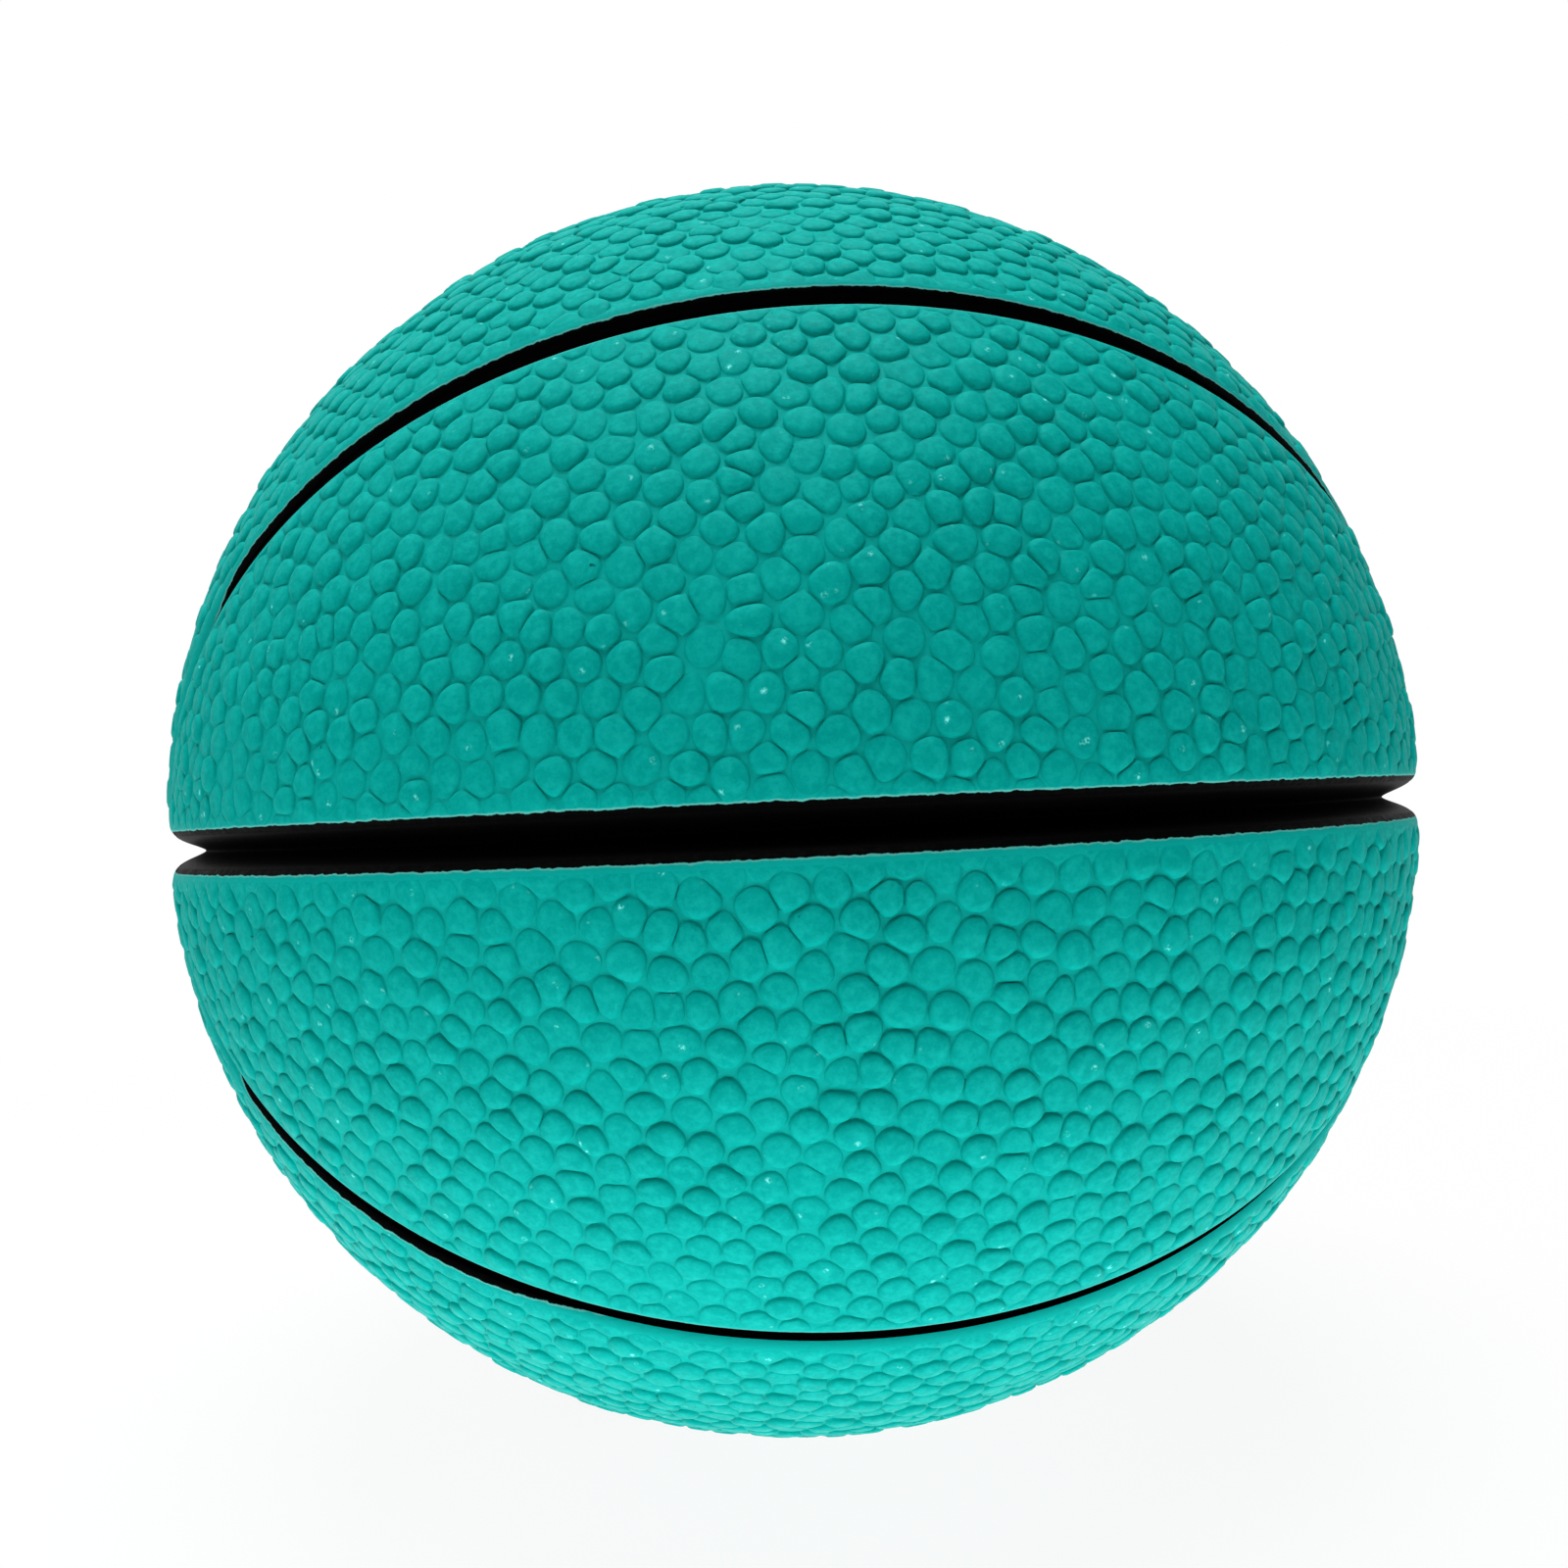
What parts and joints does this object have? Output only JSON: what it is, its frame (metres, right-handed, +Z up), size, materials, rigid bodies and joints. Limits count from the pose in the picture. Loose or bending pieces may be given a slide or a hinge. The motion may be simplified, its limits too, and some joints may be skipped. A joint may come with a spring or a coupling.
{
  "type": "basketball",
  "caption": "Mini moulded rubber basketball with pebbled cover panels, lined seam channels, wound layers over an air bladder, and a needle valve.",
  "frame": {"origin": "centre of the ball", "axes": "+Z up, square to the equator channel; -Y towards the middle of the front looped channel; the meridian channel lies in the XZ plane"},
  "size_m": [0.1266, 0.1268, 0.1266],
  "materials": {
    "cover": "satin, pebbled",
    "channel": "satin",
    "carcass": "matte",
    "winding": "wound yarn",
    "bladder": "matte",
    "valve": "satin",
    "core": "satin"
  },
  "bodies": {
    "ball": {"eye_panel_front_upper": "cover", "eye_panel_front_lower": "cover", "eye_panel_rear_upper": "cover", "eye_panel_rear_lower": "cover", "shoulder_panel_front_upper": "cover", "shoulder_panel_front_lower": "cover", "shoulder_panel_rear_upper": "cover", "shoulder_panel_rear_lower": "cover", "seam_strip_equator": "channel", "seam_strip_meridian_upper": "channel", "seam_strip_meridian_lower": "channel", "seam_strip_front_upper": "channel", "seam_strip_front_lower": "channel", "seam_strip_rear_upper": "channel", "seam_strip_rear_lower": "channel", "carcass": "carcass", "winding": "winding", "bladder": "bladder", "valve_housing": "valve"},
    "core": {"valve_core": "core"}
  },
  "joints": [
    {"name": "valve_core_pull", "type": "slide", "parent": "ball", "child": "core", "axis": [0, 0.4289, 0.9033], "range_m": [0, 0.016]}
  ]
}
